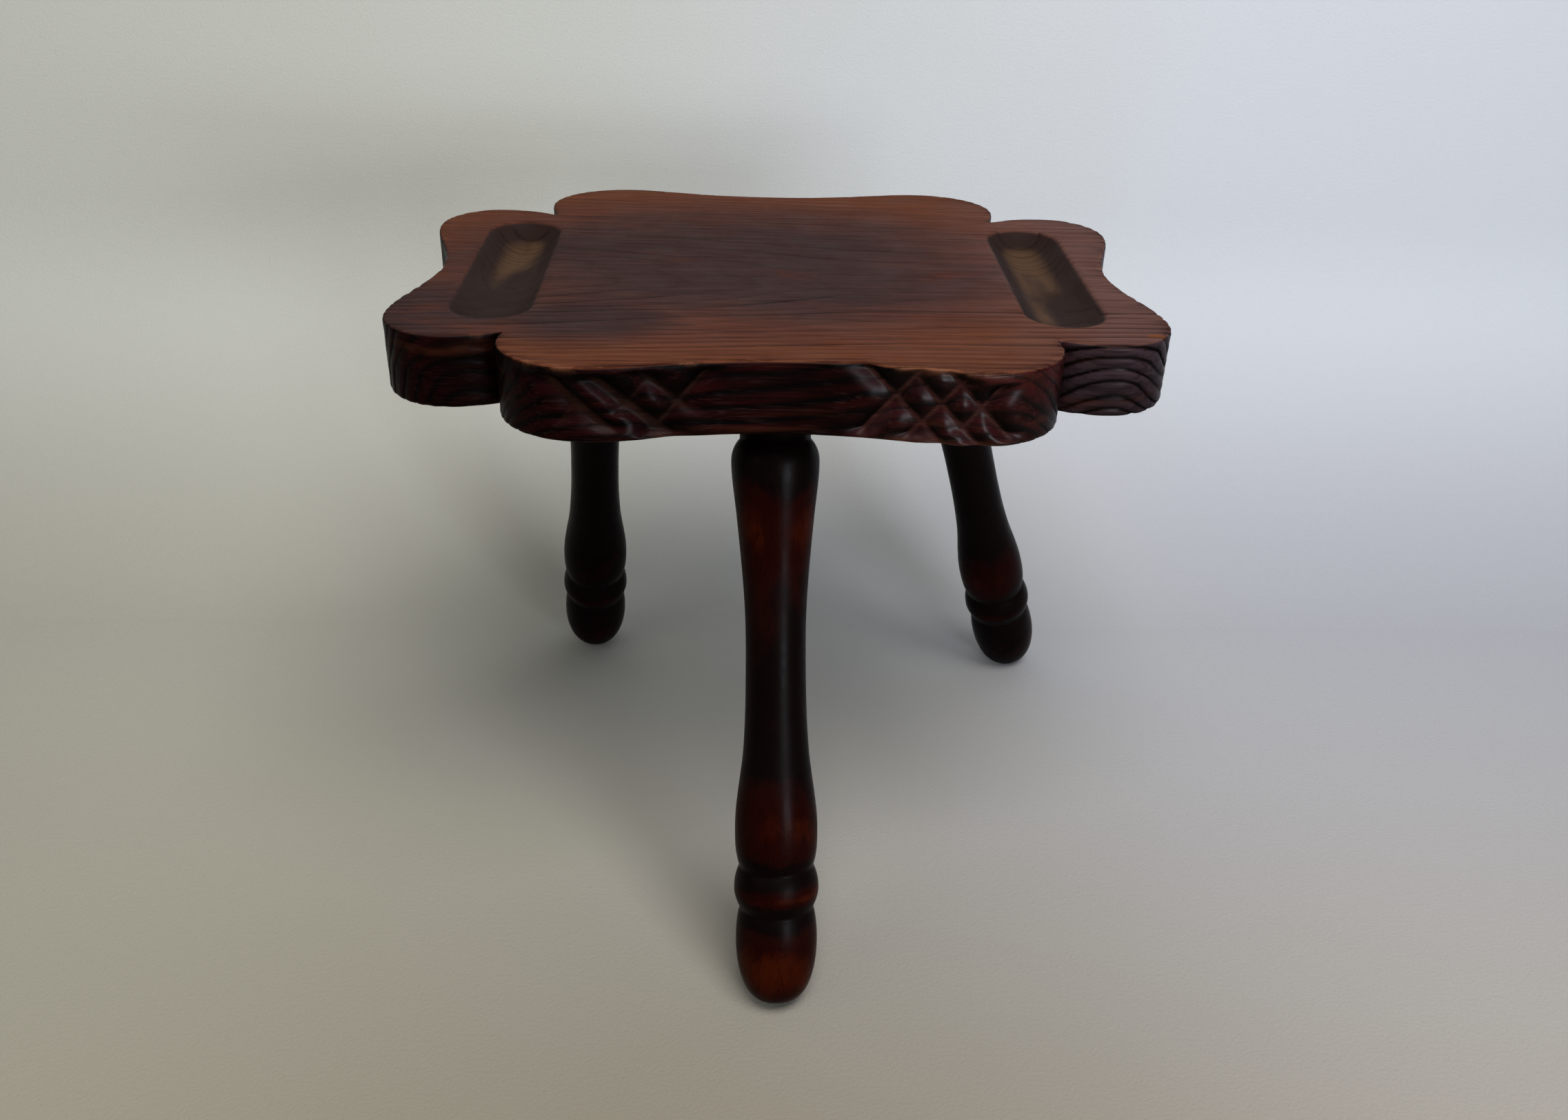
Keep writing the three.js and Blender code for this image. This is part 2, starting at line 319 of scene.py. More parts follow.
# %% The carving strokes
CARVING_MIDDLE = 18
STROKE_DEPTH = 4.4
PILLOW_REACH = 10.5
CORNER_BLUR = 0.5
BOTTOM_REACH = 0.65
STROKE_RUN_OUT = 4
STROKES = (
    # along at mid-height, lean in degrees, start and stop below the top, flat bottom, strength
    (-98, 42, 3, 34, 1.7, 0.9),
    (-75, 42, 3, 39, 1.8, 1.0),
    (-51.5, 44, 2, 26, 0.7, 0.9),
    (56, 45, -2, 40, 0.6, 1.0),
    (75, 46, 2, 40, 0.6, 1.0),
    (94, 46, -2, 36, 0.5, 1.0),
    (-97, -50, 15, 31, 0.3, 0.6),
    (-72, -49, 4, 26, 0.3, 0.75),
    (-47, -49, 2, 37, 0.5, 1.0),
    (51.5, -52, -2, 37, 0.5, 1.0),
    (74.5, -50, 3, 38, 0.5, 1.0),
    (95.5, -50, 5, 33, 0.5, 0.95),
)


def carved_depth(along, drop):
    """Depth of the carving in millimetres, and how close each point is to a stroke's bottom, 0 to 1."""
    left = np.ones(np.broadcast(along, drop).shape)
    at_bottom = np.zeros_like(left)
    for stroke_along, lean, start, stop, flat_bottom, strength in STROKES:
        slope = math.tan(math.radians(lean))
        direction = np.array([1.0, slope]) / math.hypot(1, slope)
        offset_along, offset_drop = along - stroke_along, drop - CARVING_MIDDLE
        away = np.abs(offset_along * direction[1] - offset_drop * direction[0]) - flat_bottom
        across = CORNER_BLUR * np.logaddexp(0, away / CORNER_BLUR)
        ends = strength * np.clip(np.minimum(drop - start, stop - drop) / STROKE_RUN_OUT, 0, 1)
        valley = np.clip(1 - across / PILLOW_REACH, 0, 1) ** 2
        left *= 1 - ends * valley
        at_bottom = np.maximum(at_bottom, ends * np.exp(-((across / BOTTOM_REACH) ** 2)))
    return (1 - left) * STROKE_DEPTH, at_bottom


print(len(STROKES), "strokes, deepest cut", STROKE_DEPTH, "mm")

# %% [markdown]
# ## Points along the edge
#
# The wall of the plank needs close columns where there is fine detail, which is the carving and the brushed
# end grain, and wide ones along the plain grain. Walking along the outline and counting steps of the wanted
# width gives both from one rule. The inner corners are kept as exact points so that they stay sharp.

# %% Points along the edge
PLAIN_STEP, CARVED_STEP, END_STEP = 2.4, 0.8, 0.75
END_GRAIN_SLANT = 0.45
FRONT_EDGE, CARVED_FROM, CARVED_TO = -120, 33, 122
NOTCH_CLEARANCE = 6


def unit(rows):
    return rows / np.hypot(*rows.T)[:, None]


def spread_points():
    """Numbers of the fine outline's points that the wall uses."""
    following = np.roll(fine_edge, -1, axis=0) - fine_edge
    step = np.full(len(fine_edge), PLAIN_STEP)
    step[np.abs(unit(following)[:, 1]) > END_GRAIN_SLANT] = END_STEP
    across = np.abs(fine_edge[:, 0])
    step[(fine_edge[:, 1] < FRONT_EDGE) & (across > CARVED_FROM) & (across < CARVED_TO)] = CARVED_STEP
    count = np.concatenate([[0], np.cumsum(np.hypot(*following.T) / step)])
    wanted = np.arange(int(count[-1])) * count[-1] / int(count[-1])
    chosen = np.unique(np.searchsorted(count, wanted))
    kept = [i for i in chosen if np.abs(i - notches).min() > NOTCH_CLEARANCE or i in notches]
    return np.unique(np.concatenate([kept, notches])) % len(fine_edge)


edge = fine_edge[spread_points()]
tangent = unit(unit(np.roll(edge, -1, axis=0) - edge) + unit(edge - np.roll(edge, 1, axis=0)))
outward = np.column_stack([tangent[:, 1], -tangent[:, 0]])
print(len(edge), "points along the edge")

# %% [markdown]
# ## The plank's wall
#
# The plank is built from the edge inwards. Its wall is a stack of rings of the same points, each pushed in by
# the rounding of the edges and by the carving. How fast the carving deepens on the way down is kept too,
# because painted shade goes where a pillow faces down and painted light where it faces up.

# %% Rings of the wall
THICKNESS = round((plank_high.z - plank_low.z) / MM, 3)
EDGE_ROUND = 1.7
WALL_ROWS = 36
EDGE_ROWS = 3
FACING_FRONT, CARVED_FACE = -0.75, -118
SLOPE_STEP = 0.5


def wall_rings():
    """Rings from the underside to the top: drop below the top face and inset from the outline."""
    turns = np.linspace(0, math.pi / 2, EDGE_ROWS + 1)
    drops, insets = EDGE_ROUND - EDGE_ROUND * np.sin(turns), EDGE_ROUND - EDGE_ROUND * np.cos(turns)
    straight = np.linspace(THICKNESS - EDGE_ROUND, EDGE_ROUND, WALL_ROWS)[1:-1]
    return [*zip(THICKNESS - insets, drops), *((drop, 0.0) for drop in straight), *zip(drops, insets)]


rings, groove_marks, slope_marks = [], [], []
front_facing = (outward[:, 1] < FACING_FRONT) & (edge[:, 1] < CARVED_FACE)
for drop, inset in wall_rings():
    depth, at_bottom = (np.where(front_facing, values, 0) for values in carved_depth(edge[:, 0], drop))
    pushed_in = edge - outward * (inset + depth)[:, None]
    rings.append(np.column_stack([pushed_in, np.full(len(edge), -drop)]))
    groove_marks.append(at_bottom)
    lower, upper = (carved_depth(edge[:, 0], drop + step)[0] for step in (SLOPE_STEP, -SLOPE_STEP))
    slope_marks.append(np.where(front_facing, (lower - upper) / (2 * SLOPE_STEP), 0))
print(len(rings), "rings of", len(edge), "points")

# %% [markdown]
# ## The dished top
#
# The top is a sheet of points in rows along the grain, triangulated inside the uppermost ring and lowered
# where the two hollows were dished out with a round-nosed cutter. The points stand closer together in the
# hollows.

# %% The dished top
HOLLOW_PLACE, HOLLOW_WIDTH, HOLLOW_LENGTH, HOLLOW_DEPTH = 148.25, 43, 168, 11
RIM_SOFTNESS = 0.5
ROW_STEP, SHEET_MARGIN = 0.95, 0.9
SHEET_FRONT, SHEET_BACK = -156, 162
COLUMN_ZONES = ((-200, 3.6), (-174, 1.8), (-122, 3.6), (122, 1.8), (174, 3.6))
SHEET_END = 200


def hollow_depth(x, y):
    nose = ((HOLLOW_WIDTH / 2) ** 2 + HOLLOW_DEPTH ** 2) / (2 * HOLLOW_DEPTH)
    run = (HOLLOW_LENGTH - HOLLOW_WIDTH) / 2
    across = np.hypot(np.abs(x) - HOLLOW_PLACE, np.maximum(np.abs(y - WING_SHIFT) - run, 0))
    cut = np.sqrt(np.maximum(nose ** 2 - across ** 2, 0)) - (nose - HOLLOW_DEPTH)
    return RIM_SOFTNESS * np.logaddexp(0, cut / RIM_SOFTNESS)


def reach_at(ring, places):
    """How far a ring lies from the middle in the direction of each place."""
    around = np.arctan2(ring[:, 1], ring[:, 0])
    order = np.argsort(around)
    towards = np.arctan2(places[:, 1], places[:, 0])
    return np.interp(towards, around[order], np.hypot(*ring[order, :2].T), period=2 * math.pi)


def sheet_points(ring):
    """Rows of points along the grain, inside a ring by a margin."""
    stops = [start for start, step in COLUMN_ZONES[1:]] + [SHEET_END]
    zones = zip(COLUMN_ZONES, stops)
    columns = np.concatenate([np.arange(start, stop, step) for (start, step), stop in zones])
    rows = np.arange(SHEET_FRONT, SHEET_BACK, ROW_STEP)
    places = np.column_stack([grid.ravel() for grid in np.meshgrid(columns, rows)])
    return places[np.hypot(*places.T) < reach_at(ring, places) - SHEET_MARGIN]


def fill(points, loops):
    """Triangles over some points, inside the first of some loops of point numbers."""
    _, _, faces, origins, _, _ = delaunay_2d_cdt([Vector(p) for p in points], [], loops, 1, 1e-6)
    source = [found[0] for found in origins]
    return [tuple(source[i] for i in face) for face in faces]


sheet = sheet_points(rings[-1])
top_faces = fill(np.vstack([rings[-1][:, :2], sheet]), [list(range(len(edge)))])
print(len(sheet), "points and", len(top_faces), "triangles in the top")

# %% [markdown]
# ## The legs' axes and sockets
#
# Each leg goes into the underside at a place measured from the plank's middle, and splays outwards at its
# own angle and bearing, because the holes were bored by hand. The same numbers aim the sockets in the
# underside and the legs.

# %% Where the legs stand
LEG_PLACES = {
    # along and back from the middle, splay and bearing in degrees
    "front_leg": (-2, -93, 20.8, 272.6),
    "back_left_leg": (-108, 48, 19.8, 101.7),
    "back_right_leg": (100, 54, 21.0, 41.8),
}
TENON_RADIUS, TENON_LENGTH, JOINT_GAP = 18.4, 26, 0.3
SOCKET_SIDES, SOCKET_DEPTH = 48, TENON_LENGTH + 2


def leg_axis(name):
    x, y, splay, bearing = LEG_PLACES[name]
    lean, aim = math.radians(splay), math.radians(bearing)
    direction = np.array([math.sin(lean) * math.cos(aim), math.sin(lean) * math.sin(aim), -math.cos(lean)])
    return np.array([x, y, -THICKNESS]), direction, lean, aim


def socket_loops(name):
    """The socket's mouth in the plane of the underside, and its end inside the wood."""
    start, direction, lean, aim = leg_axis(name)
    radius = TENON_RADIUS + JOINT_GAP
    turns = np.linspace(0, 2 * math.pi, SOCKET_SIDES + 1)[:-1]
    along = radius / math.cos(lean) * np.cos(turns)
    across = radius * np.sin(turns)
    mouth = start + np.column_stack([
        along * math.cos(aim) - across * math.sin(aim),
        along * math.sin(aim) + across * math.cos(aim),
        np.zeros(SOCKET_SIDES),
    ])
    slide = -(radius * math.tan(lean) * np.cos(turns)) - SOCKET_DEPTH
    return mouth, mouth + direction * slide[:, None]


print("splay of the legs:", {name: place[2] for name, place in LEG_PLACES.items()})

# %% [markdown]
# ## Joining the plank into one closed skin
#
# The wall, the top, the flat underside and the sockets share their border points, so the skin is closed by
# using the same point numbers on both sides. The underside is triangulated with the sockets' mouths as
# loops, and the triangles inside a mouth are left out.

# %% One closed skin
UNDERSIDE_STEP = 9.0
UNDERSIDE_REACH = 200


def underside_points(lower, mouths):
    """Loose points that keep clear of the lowest ring and of the sockets' mouths."""
    step = np.arange(-UNDERSIDE_REACH, UNDERSIDE_REACH, UNDERSIDE_STEP)
    loose = np.array([(x, y) for x in step for y in step])
    clear = np.hypot(*loose.T) < reach_at(lower, loose) - UNDERSIDE_STEP / 2
    for mouth in mouths:
        clear &= np.hypot(*(loose - mouth.mean(0)[:2]).T) > TENON_RADIUS + UNDERSIDE_STEP / 2
    return loose[clear]


def build_plank():
    """Points and faces, and the first point of the top and of the underside."""
    count = len(edge)
    points = list(np.vstack(rings))
    faces = []
    for k in range(len(rings) - 1):
        for i in range(count):
            j = (i + 1) % count
            faces.append((k * count + i, k * count + j, (k + 1) * count + j, (k + 1) * count + i))
    last = (len(rings) - 1) * count
    first_loose = len(points)
    points += list(np.column_stack([sheet, np.zeros(len(sheet))]))
    for face in top_faces:
        faces.append(tuple(i + last if i < count else i - count + first_loose for i in face))

    mouths, ends = zip(*(socket_loops(name) for name in LEG_NAMES))
    loose = underside_points(rings[0], mouths)
    flat = np.vstack([rings[0][:, :2], *[mouth[:, :2] for mouth in mouths], loose])
    first_mouths = [count + k * SOCKET_SIDES for k in range(len(mouths))]
    mouth_loops = [list(range(first, first + SOCKET_SIDES)) for first in first_mouths]
    first_under = len(points)
    points += list(np.column_stack([flat[count:], np.full(len(flat) - count, -THICKNESS)]))
    for face in fill(flat, [list(range(count)), *mouth_loops]):
        if not any(set(face) <= set(loop) for loop in mouth_loops):
            faces.append(tuple(i if i < count else i - count + first_under for i in reversed(face)))
    for k, end in enumerate(ends):
        mouth_start, end_start = first_under + k * SOCKET_SIDES, len(points)
        points += list(end)
        for i in range(SOCKET_SIDES):
            j = (i + 1) % SOCKET_SIDES
            faces.append((mouth_start + j, mouth_start + i, end_start + i, end_start + j))
        faces.append(tuple(end_start + i for i in reversed(range(SOCKET_SIDES))))
    return np.array(points), faces, first_loose, first_under


plank_points, plank_faces, first_sheet, first_under = build_plank()
sheet_part = slice(first_sheet, first_under)
plank_points[sheet_part, 2] -= hollow_depth(plank_points[sheet_part, 0], plank_points[sheet_part, 1])
plank_mesh = bpy.data.meshes.new("plank")
plank_mesh.from_pydata((plank_points * MM + np.array(middle)).tolist(), [], plank_faces)
plank_mesh.shade_smooth()
print(len(plank_points), "points,", len(plank_faces), "faces")

# %% [markdown]
# ## Marks on the plank
#
# Each point gets a few numbers that the relief and the material read later: whether it is on the wall, how
# close it is to a rounded edge, to the bottom of a stroke and to the rim of the top, how deep it lies in a
# hollow, whether it is on a carved stretch, and whether the carving there faces down or up.

# %% Marks for the material
TOP_EDGE_DROP = 0.35
EDGE_BAND, LOWER_EDGE_SHARE = 1.1, 0.4
RIM_BAND = 3.5
CARVED_STRETCH, CARVED_FADE = (28, 122), 8
MARKS = ("wall", "edge", "groove", "hollow", "carved", "rim", "under")


def mark(mesh, name, values):
    layer = mesh.attributes.new(name, "FLOAT", "POINT")
    layer.data.foreach_set("value", np.asarray(values, dtype=np.float32))


marks = {name: np.zeros(len(plank_points)) for name in MARKS}
across = np.abs(edge[:, 0])
carved_stretch = (np.clip((across - CARVED_STRETCH[0]) / CARVED_FADE, 0, 1)
                  * np.clip((CARVED_STRETCH[1] - across) / CARVED_FADE, 0, 1))
for k, (drop, inset) in enumerate(wall_rings()):
    ring = slice(k * len(edge), (k + 1) * len(edge))
    marks["wall"][ring] = 1 if drop > TOP_EDGE_DROP else 0
    lower_edge = LOWER_EDGE_SHARE * math.exp((drop - THICKNESS) / EDGE_BAND)
    marks["edge"][ring] = max(math.exp(-drop / EDGE_BAND), lower_edge)
    marks["groove"][ring] = groove_marks[k]
    marks["carved"][ring] = np.where(front_facing, carved_stretch, 0)
    marks["under"][ring] = slope_marks[k]
marks["wall"][first_under:] = 1
marks["hollow"][sheet_part] = -plank_points[sheet_part, 2] / HOLLOW_DEPTH
to_rim = np.abs(reach_at(rings[-1], plank_points) - np.hypot(*plank_points[:, :2].T))
marks["rim"] = np.exp(-to_rim / RIM_BAND)
for name, values in marks.items():
    mark(plank_mesh, name, values)
plank = add_object("scorched_seat", plank_mesh)
print("marks:", {name: round(float(values.mean()), 3) for name, values in marks.items()})

# %% [markdown]
# ## Growth rings
#
# The plank was sawn a hand's breadth below the middle of a log. Its rings are long tubes round the pith,
# which lay above the top face, climbed from the left end and ran nearly level over the right half. That one
# fact explains every line on the seat: close straight lines along both long edges, wide slow ones that fan
# out over the middle, deep nested arcs in the hollows and wavy bands on the edge faces. The tubes bend a
# little inside both wings. So the rings are one formula of position, and it is used twice: for the colour
# and for the brushed relief.

# %% One formula for the rings
PITH_BACK, PITH_ABOVE = -16 * MM, 80 * MM
PITH_RISE, PITH_DRIFT, LEVEL_FROM, LEVEL_BEND = 0.10, 0.02, 50 * MM, 80 * MM
RING_WIDTH = 5.0 * MM
WANDER, UNEVEN_YEARS = 9.0 * MM, 13.0 * MM
RIGHT_BUMP, BUMP_REACH, BUMP_LIFT = 168 * MM, 32 * MM, -0.10
LEFT_HORN, HORN_SINK = (-200 * MM, -150 * MM), 0.4


def ring_field(place):
    """Rings counted out from the pith, and the direction across them. Places are from the plank's middle."""
    x, y, z = parts(place)
    wander = noise(place, (3.2, 13, 13), detail=3) - 0.5
    seasons = noise(place, (1.6, 40, 40), detail=1) - 0.5
    bends = ramp(abs(x - RIGHT_BUMP), 0, BUMP_REACH, BUMP_LIFT, 0) + ramp(x, *LEFT_HORN, HORN_SINK, 0)
    shift = bends * z + (wander * WANDER + seasons * UNEVEN_YEARS)
    climb = maths("SMOOTH_MIN", x, LEVEL_FROM, LEVEL_BEND) * PITH_RISE
    away = y - PITH_BACK
    below = z - (climb + (x * PITH_DRIFT + PITH_ABOVE))
    radius = maths("SQRT", away * away + below * below)
    across = add_node(tree_of([x]), "ShaderNodeCombineXYZ", {1: away / radius, 2: below / radius})
    return (radius + shift) / RING_WIDTH, across


def ring_band(number):
    """0 at every winter and 1 halfway between two winters."""
    return abs(maths("SINE", number * math.pi))


print("rings between the pith and the front edge:", round(math.hypot(135 * MM, PITH_ABOVE) / RING_WIDTH))

# %% [markdown]
# ## Brushed relief
#
# A wire brush takes the soft early wood and leaves the hard late wood standing, so the plank is ridged along
# its rings. Ridges wide enough to see in the outline are real geometry, made by a Geometry Nodes tree that
# moves each point along its normal by the ring formula. Where rings lie closer together than the full depth
# spacing they are brushed less deeply, no two years equally, and the strokes of the carving stay clean. The
# finest lines are left to the material.

# %% Brushed relief with Geometry Nodes
SLAB_TO_WING = (135 * MM, 150 * MM)


def named_value(tree, name):
    return add_node(tree, "GeometryNodeInputNamedAttribute", {"Name": name}, data_type="FLOAT")


def moved_by(tree, geometry, distance):
    """Move every point along its normal by a distance."""
    offset = vectors("SCALE", {0: add_node(tree, "GeometryNodeInputNormal"), "Scale": distance})
    return add_node(tree, "GeometryNodeSetPosition", {"Geometry": geometry, "Offset": offset})


def end_geometry(tree, geometry, finish, result):
    real = add_node(tree, "GeometryNodeRealizeInstances", {"Geometry": geometry})
    painted = add_node(tree, "GeometryNodeSetMaterial", {"Geometry": real, "Material": finish})
    feed(result, {"Geometry": painted})


def build_relief():
    tree, given, result = new_tree("Brushed relief", "GeometryNodeTree", {
        "Geometry": ["Geometry"],
        "Middle": ["Vector", (0, 0, 0)],
        "Wall Depth": ["Float", 0.5 * MM],
        "Top Depth": ["Float", 0.25 * MM],
        "Full Depth Spacing": ["Float", 7.0 * MM],
        "Finish": ["Material"],
    }, {"Geometry": "Geometry"})
    local = vectors("SUBTRACT", {0: add_node(tree, "GeometryNodeInputPosition"), 1: given["Middle"]})
    number, across = ring_field(local)
    normal = add_node(tree, "GeometryNodeInputNormal")
    facing = vectors("DOT_PRODUCT", {0: normal, 1: across}, "Value")
    spacing = RING_WIDTH / maths("SQRT", 1.02 - facing * facing)
    coarse = ramp(spacing, given["Full Depth Spacing"] * 0.5, given["Full Depth Spacing"], 0.35, 1.0)
    year = add_node(tree, "ShaderNodeTexNoise", {"W": number * 0.9, "Detail": 1.0}, noise_dimensions="1D")
    valley = (ring_band(number) - 1.0) * ramp(year, 0.35, 0.62, 0.3, 1.3)
    x = parts(local)[0]
    top_reach = given["Top Depth"] * ramp(abs(x), 0.08, 0.15, 0.4, 1.0)
    wall_more = (given["Wall Depth"] - top_reach) * ramp(x, 0.10, 0.16, 0.4, 0.75)
    end_grain = abs(parts(normal)[0]) * ramp(abs(x), *SLAB_TO_WING, 0.3, 1.4)
    side = maths("MAXIMUM", named_value(tree, "wall"), named_value(tree, "edge"))
    reach = wall_more * (end_grain + 1.0) * side + top_reach
    spare = coarse * (1.0 - named_value(tree, "groove")) * (1.0 - named_value(tree, "carved") * 0.7)
    moved = moved_by(tree, given["Geometry"], valley * (reach * spare))
    end_geometry(tree, moved, given["Finish"], result)
    return tree


relief = build_relief()
print("relief tree with", len(relief.nodes), "nodes")

# %% [markdown]
# ## Shared effects for the finishes
#
# Both woods were stained, waxed and rubbed by hands and clothes, so three effects are shared as node groups:
# fine grain that is stretched along the wood, edges that are rubbed through to lighter wood in patches, and
# a wax that is duller in some places than in others.


# %% Shared shader groups
def build_grain():
    tree, given, result = new_tree("Fine grain", "ShaderNodeTree", {
        "Place": ["Vector"],
        "Stretch": ["Vector", (20, 900, 900)],
    }, {"Streak": "Float", "Pores": "Float"})
    long_way = scaled(given["Place"], given["Stretch"])
    feed(result, {
        "Streak": noise(long_way, scale=0.5, detail=3, roughness=0.6),
        "Pores": ramp(noise(long_way, scale=1.3, detail=2), 0.52, 0.7),
    })
    return tree


def build_rub():
    tree, given, result = new_tree("Rubbed edge", "ShaderNodeTree", {
        "Place": ["Vector"],
        "Edge": ["Float", 0.0],
        "Patch Size": ["Float", 60.0],
        "Amount": ["Float", 0.5],
    }, {"Worn": "Float"})
    patches = noise(given["Place"], scale=given["Patch Size"], detail=4, roughness=0.65)
    feed(result, {"Worn": ramp(patches + (given["Amount"] - 0.5), 0.42, 0.62) * given["Edge"]})
    return tree


def build_wax():
    tree, given, result = new_tree("Old wax", "ShaderNodeTree", {
        "Place": ["Vector"],
        "Polished": ["Float", 0.3],
        "Dull": ["Float", 0.5],
    }, {"Roughness": "Float", "Smear": "Float"})
    smear = noise(given["Place"], scale=38, detail=4, roughness=0.6)
    span = given["Dull"] - given["Polished"]
    feed(result, {"Roughness": ramp(smear, 0.3, 0.7) * span + given["Polished"], "Smear": smear})
    return tree


grain_group, rub_group, wax_group = build_grain(), build_rub(), build_wax()
print("shared groups:", grain_group.name, rub_group.name, wax_group.name)

# %% [markdown]
# ## Rings as a shader group
#
# In each ring the colour darkens slowly through the late wood and stops sharply where the next spring began.
# No two years are alike, so every ring gets its own strength from a noise that reads the ring's number.

# %% The ring lines
LATE_WOOD = 0.20


def build_ring_lines():
    results = dict.fromkeys(("Line", "Band", "Height"), "Float")
    tree, given, result = new_tree("Ring lines", "ShaderNodeTree", {"Place": ["Vector"]}, results)
    number, _ = ring_field(given["Place"])
    before_winter = 1.0 - maths("FRACT", number)
    line = maths("EXPONENT", before_winter / -LATE_WOOD)
    whole = {"W": maths("FLOOR", number)}
    year = add_node(tree, "ShaderNodeTexWhiteNoise", whole, "Value", noise_dimensions="1D")
    strength = ramp(year, 0.1, 0.75, 0.4, 1.0)
    fade = ramp(noise(given["Place"], (9, 30, 30), detail=3), 0.35, 0.55, 0.5, 1.0)
    feed(result, {"Line": line * (strength * fade), "Band": ring_band(number), "Height": line * strength})
    return tree


ring_group = build_ring_lines()
print(ring_group.name, "with", len(ring_group.nodes), "nodes")

# %% [markdown]
# ## The plank's finish
#
# The top was scorched with a flame and rubbed back. It is a warm brown that goes purple-grey where the flame
# stood longest, and more orange along its rim, where the brush has also bitten dark nicks, with a painted
# grey sheen towards the right. The hollows were scorched harder and rubbed through to gold at the bottom. The
# edge faces kept nearly black varnish that is reddest towards the right, with a painted glow of light at the
# right end of the carving and a painted grey sheen on the right wing. Painted shade darkens the carved
# pillows where they face down, and painted light lightens them where they face up. The strokes between them
# are rubbed lighter and carry a painted highlight. One fresh orange chip is missing from the right wing's
# front corner.

# %% Colours of the plank
TOP_BROWN = (0.092, 0.0300, 0.0175)
RIM_ORANGE = (0.118, 0.0370, 0.0150)
WARM_PATCH = (0.100, 0.0230, 0.0105)
SCORCHED = (0.038, 0.0190, 0.0185)
# A painted grey sheen for the right side of the top
PAINTED_GREY_SHEEN = (0.110, 0.0680, 0.0690)
HOLLOW_DARK = (0.020, 0.0110, 0.0095)
HOLLOW_GOLD = (0.070, 0.038, 0.021)
WALL_BLACK = (0.0016, 0.0002, 0.0002)
WALL_RED = (0.0160, 0.0012, 0.0012)
# A painted grey sheen on the right wing's edge face
WALL_PAINTED_SHEEN = (0.035, 0.0225, 0.0280)
# Painted light: a red glow at the upper right end of the carving
WALL_PAINTED_GLOW = (0.040, 0.0050, 0.0045)
WALL_AMBER = (0.032, 0.0080, 0.0034)
# Painted light on carved flanks that face up
WALL_LIT = (0.025, 0.0040, 0.0052)
# Painted shade under the carved pillows, on flanks that face down
PAINTED_SHADE_UNDER_PILLOWS = (0.0010, 0.0001, 0.0001)
FLECK = (0.034, 0.0150, 0.0150)
DIM_STROKE = (0.017, 0.0068, 0.0045)
# Rubbed lighter, with a painted highlight along the bottoms of the strokes
RUBBED_STROKE_AND_HIGHLIGHT = (0.044, 0.0160, 0.0130)
WORN_WOOD = (0.190, 0.075, 0.038)
CHIP_ORANGE = (0.130, 0.0400, 0.0130)
# Colours that are multiplied in, which darken what they cover
STREAKED = (0.42, 0.36, 0.36)
PORES = (0.3, 0.25, 0.25)
SINGED = (0.30, 0.20, 0.18)
FIBRES = (0.25, 0.25, 0.25)
LATE_WOOD_DARK = (0.06, 0.03, 0.03)
# Spots: place along and back from the middle, and half sizes
SCORCHED_SPOTS = ((-25, 8, 150, 96), (-178, -72, 52, 46), (-95, -85, 52, 29))
CHIP = (188, -98, 6, 3)


def new_material(name, colour):
    material = bpy.data.materials.new(name)
    material.use_nodes = True
    material.diffuse_color = (*colour, 1)
    tree = material.node_tree
    return material, tree, tree.nodes["Principled BSDF"]


def attribute(tree, name):
    return add_node(tree, "ShaderNodeAttribute", output="Fac", attribute_name=name)


def object_place(tree):
    return vectors("SUBTRACT", {0: add_node(tree, "ShaderNodeTexCoord", output="Object"), 1: middle})


def bumped(height, distance):
    return add_node(tree_of([height]), "ShaderNodeBump", {"Height": height, "Distance": distance})


print(len(SCORCHED_SPOTS), "scorched spots and one chip")


# %% What the softwood is painted from
def softwood_view(tree):
    """Everything that the finish depends on at each point of the surface."""
    place = object_place(tree)
    x, y, z = parts(place)
    grain = place_group(grain_group, Place=place, Stretch=(24, 800, 800))
    return SimpleNamespace(
        place=place, x=x, y=y, z=z, streak=grain["Streak"], pores=grain["Pores"],
        rings=place_group(ring_group, Place=place),
        cloud=noise(place, (7, 13, 13), detail=4, roughness=0.6),
        **{name: attribute(tree, name) for name in MARKS},
    )


def from_spot(at, spot):
    """Distance from the middle of a spot, which is 1 at its edge."""
    along = (at.x - spot[0] * MM) / (spot[2] * MM)
    back = (at.y - spot[1] * MM) / (spot[3] * MM)
    return maths("SQRT", along * along + back * back)


print("the softwood is painted from", *MARKS)


# %% The top, its hollows and its rim
def scorched_top(at):
    """Warm brown, purple-grey in the scorched spots, orange beyond them, with a painted grey sheen on the
    right.
    """
    nearest = from_spot(at, SCORCHED_SPOTS[0])
    for spot in SCORCHED_SPOTS[1:]:
        nearest = maths("MINIMUM", nearest, from_spot(at, spot))
    soot = at.streak * 0.5 + (at.cloud * 1.3 + 0.05)
    warm = ramp(noise(at.place, (15, 34, 34), detail=3, roughness=0.6), 0.56, 0.72)
    return layered(TOP_BROWN, [
        (ramp(soot - nearest, -0.6, 0.5), SCORCHED),
        (ramp(at.cloud * 0.9 + nearest, 1.45, 1.95) * 0.7, RIM_ORANGE),
        (warm * 0.4, WARM_PATCH),
        # Painted grey sheen, stronger towards the right
        (ramp(at.x, 0.09, 0.19, 0.0, 0.5), PAINTED_GREY_SHEEN),
        (ramp(at.streak, 0.36, 0.64) * 0.5, STREAKED, "MULTIPLY"),
        (at.pores * 0.35, PORES, "MULTIPLY"),
    ])


